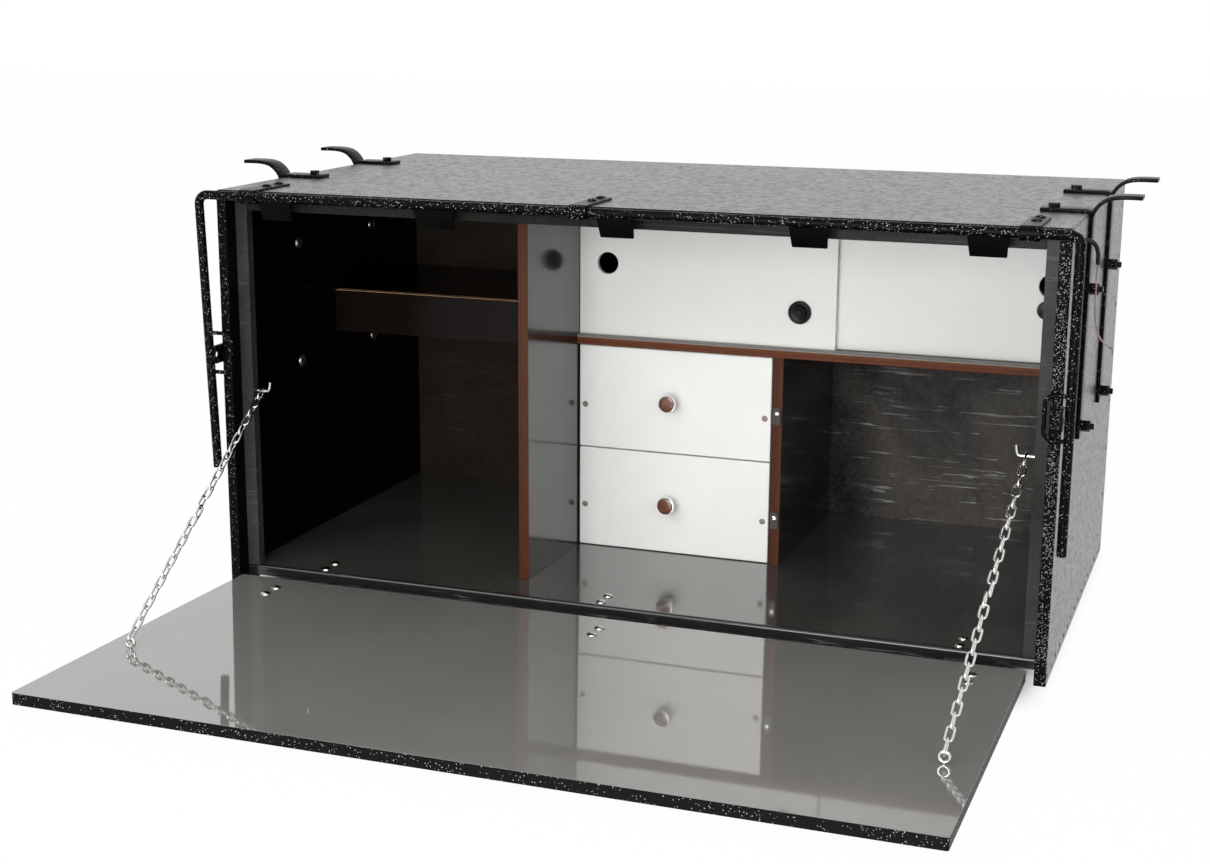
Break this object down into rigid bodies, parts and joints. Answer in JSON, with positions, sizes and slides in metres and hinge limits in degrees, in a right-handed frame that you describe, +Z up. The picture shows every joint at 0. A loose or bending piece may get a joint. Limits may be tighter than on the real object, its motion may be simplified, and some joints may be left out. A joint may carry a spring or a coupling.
{
  "type": "chuck box",
  "caption": "Camp kitchen box with a chain-held drop-down door, full-width lock bar, drawers, sliding cupboard doors and truck-bed brackets.",
  "frame": {"origin": "on the ground, under the middle of the whole object's bounding box with the door open", "axes": "+X along the width to the open box's right as seen from the front, +Y to the back of the box, +Z up"},
  "size_m": [1.296, 1.1908, 0.6],
  "materials": {
    "black_coat": "rough textured black coating over plywood",
    "grey_laminate": "glossy dark grey laminate over plywood",
    "dark_laminate": "satin near-black laminate, ply edges showing",
    "white_laminate": "smooth white laminate",
    "plywood": "bare birch plywood",
    "black_steel": "hammered black paint",
    "zinc_steel": "bright zinc plate",
    "runner_steel": "zinc-plated sheet",
    "black_plastic": "black moulded plastic",
    "knob_brown": "red-brown face in a bright rim",
    "lead_black": "black cable jacket",
    "lead_wire_coat": "thin insulated wire"
  },
  "bodies": {
    "cabinet": {"top_panel": "black_coat", "left_wall": "black_coat", "right_wall": "black_coat", "back_panel": "dark_laminate", "floor_panel": "grey_laminate", "floor_lip": "grey_laminate", "side_frame_strips": "grey_laminate", "top_frame_strip": "grey_laminate", "left_divider": "dark_laminate", "right_divider": "dark_laminate", "cupboard_shelf": "dark_laminate", "left_bay_shelf": "dark_laminate", "left_bay_fascia": "dark_laminate", "drawer_rails_fixed": "runner_steel", "latch_screws": "black_steel", "hinge_floor_leaves": "black_steel", "hinge_pins": "zinc_steel", "hinge_floor_bolts": "zinc_steel", "chain_hooks": "zinc_steel", "bar_straps": "black_steel", "bar_strap_bolts": "black_steel", "lock_plates": "black_steel", "brackets_left": "black_steel", "brackets_right": "black_steel", "bracket_bolts": "zinc_steel", "bracket_nuts": "black_steel", "bracket_leg_bolts": "black_steel", "lead_grommet": "black_plastic", "lead_jacket": "lead_black", "lead_wire": "lead_wire_coat"},
    "front_door": {"door_panel": "grey_laminate", "hinge_door_leaves": "black_steel", "hinge_door_bolts": "zinc_steel", "chain_eyes": "zinc_steel"},
    "lock_bar": {"lock_bar_rod": "black_steel", "lock_bar_claws": "black_steel", "lock_bar_loops": "black_steel"},
    "sliding_door_left": {"slide_door_left": "white_laminate", "slide_door_left_knob": "black_plastic"},
    "sliding_door_right": {"slide_door_right": "white_laminate", "slide_door_right_knob": "black_plastic"},
    "drawer_top": {"drawer_top_front": "white_laminate", "drawer_top_box": "plywood", "drawer_top_knob": "knob_brown", "drawer_top_screws": "zinc_steel", "drawer_top_runners": "runner_steel"},
    "drawer_bottom": {"drawer_bottom_front": "white_laminate", "drawer_bottom_box": "plywood", "drawer_bottom_knob": "knob_brown", "drawer_bottom_screws": "zinc_steel", "drawer_bottom_runners": "runner_steel"},
    "latch_top": {"turn_latch_top": "black_steel"},
    "latch_bottom": {"turn_latch_bottom": "black_steel"},
    "chain_left_upper_half": {"chain_left_upper": "zinc_steel"},
    "chain_left_lower_half": {"chain_left_lower": "zinc_steel"},
    "chain_right_upper_half": {"chain_right_upper": "zinc_steel"},
    "chain_right_lower_half": {"chain_right_lower": "zinc_steel"}
  },
  "joints": [
    {"name": "front_door_hinge", "type": "hinge", "parent": "cabinet", "child": "front_door", "pos_m": [0, -0.04096, 0.0036], "axis": [-1, 0, 0], "range_deg": [0, 85.5]},
    {"name": "lock_bar_swing", "type": "hinge", "parent": "cabinet", "child": "lock_bar", "pos_m": [0, -0.05851, 0.56935], "axis": [-1, 0, 0], "range_deg": [0, 150]},
    {"name": "sliding_door_left_slide", "type": "slide", "parent": "cabinet", "child": "sliding_door_left", "axis": [1, 0, 0], "range_m": [0, 0.27]},
    {"name": "sliding_door_right_slide", "type": "slide", "parent": "cabinet", "child": "sliding_door_right", "axis": [1, 0, 0], "range_m": [-0.27, 0]},
    {"name": "drawer_top_slide", "type": "slide", "parent": "cabinet", "child": "drawer_top", "axis": [0, 1, 0], "range_m": [-0.25, 0]},
    {"name": "drawer_bottom_slide", "type": "slide", "parent": "cabinet", "child": "drawer_bottom", "axis": [0, 1, 0], "range_m": [-0.22, 0]},
    {"name": "latch_top_turn", "type": "hinge", "parent": "cabinet", "child": "latch_top", "pos_m": [0.1505, 0.24744, 0.254], "axis": [0, 1, 0], "range_deg": [0, 90]},
    {"name": "latch_bottom_turn", "type": "hinge", "parent": "cabinet", "child": "latch_bottom", "pos_m": [0.1505, 0.24744, 0.098], "axis": [0, 1, 0], "range_deg": [0, 90]},
    {"name": "chain_left_upper_swing", "type": "hinge", "parent": "cabinet", "child": "chain_left_upper_half", "pos_m": [-0.54, -0.01591, 0.287], "axis": [1, 0, 0], "range_deg": [0, 92.8]},
    {"name": "chain_left_lower_swing", "type": "hinge", "parent": "front_door", "child": "chain_left_lower_half", "pos_m": [-0.52, -0.40296, 0.04162], "axis": [-1, 0, 0], "range_deg": [0, 33]},
    {"name": "chain_right_upper_swing", "type": "hinge", "parent": "cabinet", "child": "chain_right_upper_half", "pos_m": [0.54, -0.01591, 0.287], "axis": [1, 0, 0], "range_deg": [0, 92.8]},
    {"name": "chain_right_lower_swing", "type": "hinge", "parent": "front_door", "child": "chain_right_lower_half", "pos_m": [0.52, -0.40296, 0.04162], "axis": [-1, 0, 0], "range_deg": [0, 33]}
  ],
  "couplings": [
    {"joint": "chain_left_upper_swing", "follows": "front_door_hinge", "ratio": 1.08},
    {"joint": "chain_left_lower_swing", "follows": "front_door_hinge", "ratio": 0.38},
    {"joint": "chain_right_upper_swing", "follows": "front_door_hinge", "ratio": 1.08},
    {"joint": "chain_right_lower_swing", "follows": "front_door_hinge", "ratio": 0.38}
  ]
}
